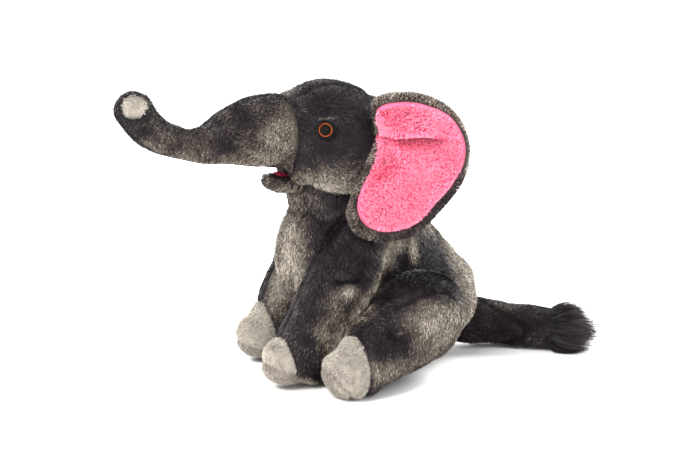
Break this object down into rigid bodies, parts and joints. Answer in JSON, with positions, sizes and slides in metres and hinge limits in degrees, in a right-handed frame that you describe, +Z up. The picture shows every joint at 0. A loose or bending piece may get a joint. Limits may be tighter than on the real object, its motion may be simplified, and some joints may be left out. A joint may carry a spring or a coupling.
{
  "type": "stuffed elephant",
  "caption": "Sitting plush elephant with a raised trunk, wide flaring lined ears, soft feet and a tufted tail; its limbs, ears and trunk bend at the seams.",
  "frame": {"origin": "under the middle of the seat, on the surface that the toy sits on", "axes": "+Z up; the elephant faces -Y and its left side is +X"},
  "size_m": [0.222, 0.4336, 0.2566],
  "materials": {
    "charcoal_plush": "short lustrous pile, mottled charcoal and taupe",
    "pink_plush": "dense short pink pile",
    "cream_velboa": "very short cream pile",
    "crimson_fleece": "flat crimson fleece",
    "black_thread": "satin-stitch embroidery",
    "orange_thread": "satin-stitch embroidery",
    "long_black_pile": "long straight pile",
    "polyester_fibre_fill": "loose white fibre"
  },
  "bodies": {
    "torso": {"belly_panel": "charcoal_plush", "torso_left_panel": "charcoal_plush", "torso_right_panel": "charcoal_plush", "seat_panel": "charcoal_plush", "torso_stuffing": "polyester_fibre_fill"},
    "neck": {"neck_skin": "charcoal_plush", "neck_stuffing": "polyester_fibre_fill"},
    "head": {"head_gusset": "charcoal_plush", "head_left_panel": "charcoal_plush", "head_right_panel": "charcoal_plush", "head_stuffing": "polyester_fibre_fill", "left_pupil": "black_thread", "right_pupil": "black_thread", "left_iris": "orange_thread", "right_iris": "orange_thread", "left_eye_patch": "black_thread", "right_eye_patch": "black_thread"},
    "trunk": {"trunk_underside": "charcoal_plush", "trunk_left_panel": "charcoal_plush", "trunk_right_panel": "charcoal_plush", "trunk_stuffing": "polyester_fibre_fill"},
    "trunk_tip": {"trunk_end_disc": "cream_velboa", "trunk_tip_left_panel": "charcoal_plush", "trunk_tip_right_panel": "charcoal_plush", "trunk_tip_stuffing": "polyester_fibre_fill"},
    "jaw": {"lower_jaw": "charcoal_plush", "mouth_lining": "crimson_fleece"},
    "left_ear": {"left_ear_back": "charcoal_plush", "left_ear_lining": "pink_plush"},
    "right_ear": {"right_ear_back": "charcoal_plush", "right_ear_lining": "pink_plush"},
    "tail": {"tail_left_panel": "charcoal_plush", "tail_right_panel": "charcoal_plush", "tail_stuffing": "polyester_fibre_fill", "tail_tuft": "long_black_pile"},
    "left_front_leg": {"left_front_sole": "cream_velboa", "left_front_toe_cap": "cream_velboa", "left_front_leg_outer": "charcoal_plush", "left_front_leg_inner": "charcoal_plush", "left_front_leg_stuffing": "polyester_fibre_fill"},
    "left_hind_leg": {"left_hind_sole": "cream_velboa", "left_hind_toe_cap": "cream_velboa", "left_hind_leg_outer": "charcoal_plush", "left_hind_leg_inner": "charcoal_plush", "left_hind_leg_stuffing": "polyester_fibre_fill"},
    "right_front_leg": {"right_front_sole": "cream_velboa", "right_front_toe_cap": "cream_velboa", "right_front_leg_outer": "charcoal_plush", "right_front_leg_inner": "charcoal_plush", "right_front_leg_stuffing": "polyester_fibre_fill"},
    "right_hind_leg": {"right_hind_sole": "cream_velboa", "right_hind_toe_cap": "cream_velboa", "right_hind_leg_outer": "charcoal_plush", "right_hind_leg_inner": "charcoal_plush", "right_hind_leg_stuffing": "polyester_fibre_fill"}
  },
  "joints": [
    {"name": "neck_turn", "type": "hinge", "parent": "torso", "child": "neck", "pos_m": [0, -0.082, 0.15], "axis": [0, 0, 1], "range_deg": [-25, 25], "stiffness_Nm_per_rad": 1},
    {"name": "head_nod", "type": "hinge", "parent": "neck", "child": "head", "pos_m": [0, -0.082, 0.203], "axis": [1, 0, 0], "range_deg": [-8, 7], "stiffness_Nm_per_rad": 1.5},
    {"name": "trunk_lift", "type": "hinge", "parent": "head", "child": "trunk", "pos_m": [0, -0.112, 0.206], "axis": [-1, 0, 0], "range_deg": [-4, 20], "stiffness_Nm_per_rad": 0.6},
    {"name": "trunk_curl", "type": "hinge", "parent": "trunk", "child": "trunk_tip", "pos_m": [0, -0.2, 0.2], "axis": [-1, 0, 0], "range_deg": [-25, 25], "stiffness_Nm_per_rad": 0.3},
    {"name": "jaw_open", "type": "hinge", "parent": "head", "child": "jaw", "pos_m": [0, -0.106, 0.166], "axis": [1, 0, 0], "range_deg": [0, 12], "stiffness_Nm_per_rad": 0.1},
    {"name": "left_ear_flap", "type": "hinge", "parent": "head", "child": "left_ear", "pos_m": [0.042, -0.058, 0.205], "axis": [0, 0, -1], "range_deg": [-10, 8], "stiffness_Nm_per_rad": 0.15},
    {"name": "right_ear_flap", "type": "hinge", "parent": "head", "child": "right_ear", "pos_m": [-0.042, -0.058, 0.205], "axis": [0, 0, 1], "range_deg": [-10, 8], "stiffness_Nm_per_rad": 0.15},
    {"name": "left_front_leg_swing", "type": "hinge", "parent": "torso", "child": "left_front_leg", "pos_m": [0.04, -0.084, 0.104], "axis": [-1, 0, 0], "range_deg": [-10, 30], "stiffness_Nm_per_rad": 0.8},
    {"name": "right_front_leg_swing", "type": "hinge", "parent": "torso", "child": "right_front_leg", "pos_m": [-0.04, -0.084, 0.104], "axis": [-1, 0, 0], "range_deg": [-10, 30], "stiffness_Nm_per_rad": 0.8},
    {"name": "left_hind_leg_swing", "type": "hinge", "parent": "torso", "child": "left_hind_leg", "pos_m": [0.06, -0.02, 0.05], "axis": [-1, 0, 0], "range_deg": [-5, 20], "stiffness_Nm_per_rad": 1},
    {"name": "right_hind_leg_swing", "type": "hinge", "parent": "torso", "child": "right_hind_leg", "pos_m": [-0.06, -0.02, 0.05], "axis": [-1, 0, 0], "range_deg": [-5, 20], "stiffness_Nm_per_rad": 1},
    {"name": "tail_swing", "type": "hinge", "parent": "torso", "child": "tail", "pos_m": [0.004, 0.057, 0.027], "axis": [0, 0, 1], "range_deg": [-20, 20], "stiffness_Nm_per_rad": 0.4}
  ]
}
